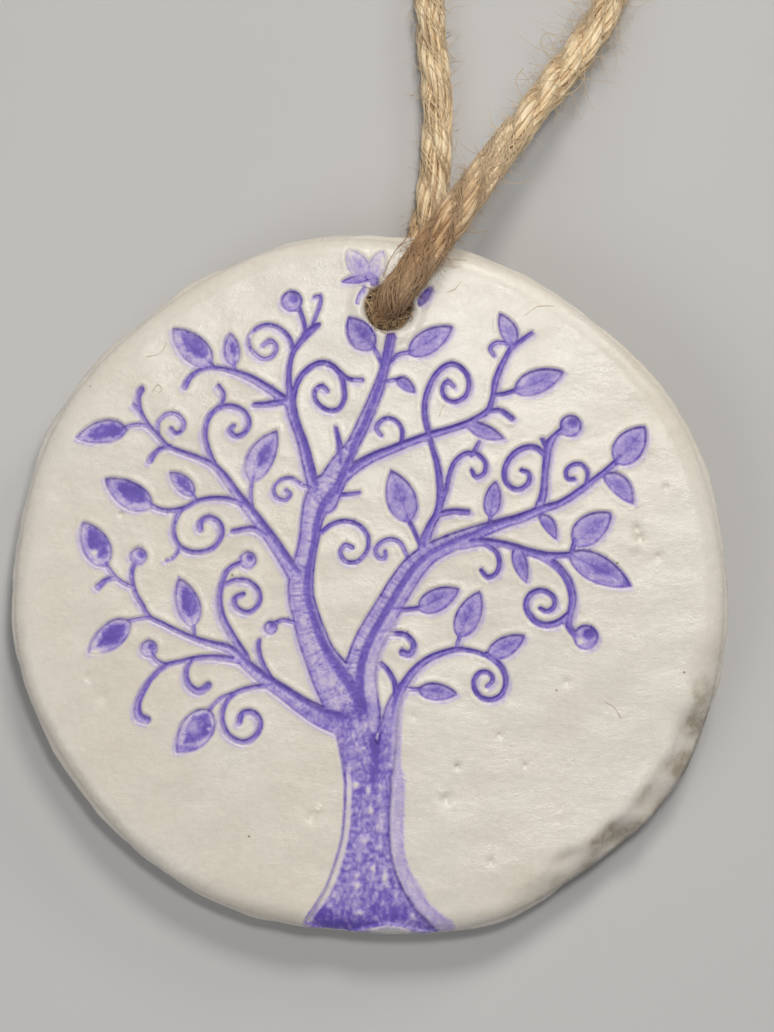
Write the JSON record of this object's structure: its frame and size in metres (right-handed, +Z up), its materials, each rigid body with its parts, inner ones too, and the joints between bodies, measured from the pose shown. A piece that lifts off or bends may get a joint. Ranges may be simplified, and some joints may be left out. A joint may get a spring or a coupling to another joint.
{
  "type": "hanging clay ornament",
  "caption": "Round clay tablet with a tree of life stamped into its face in purple ink, and a knotted jute twine loop through a hole near its rim, to hang it by.",
  "frame": {"origin": "under the middle of the clay tablet, on the surface it lies on", "axes": "+Z up out of the printed face, as the tablet lies face up; +Y from the tree's roots towards the hole and the twine; +X to the right of the tree"},
  "size_m": [0.0756, 0.1533, 0.016],
  "materials": {
    "clay": "air-dry clay, warm off-white, satin, with faint wrinkles",
    "ink": "purple stamp ink, a thin uneven film",
    "jute": "twisted jute twine, golden tan, hairy"
  },
  "bodies": {
    "disc": {"clay_disc": "clay", "tree_ink": "ink", "treetop_ink": "ink", "rim_leaf_ink": "ink"},
    "twine": {"twine_loop": "jute", "twine_knot": "jute", "twine_tail_left": "jute", "twine_tail_right": "jute"}
  },
  "joints": [
    {"name": "twine_swivel", "type": "hinge", "parent": "disc", "child": "twine", "pos_m": [0.00197, 0.0292, 0.00745], "axis": [0, 0, 1], "range_deg": [-33, 57]}
  ]
}
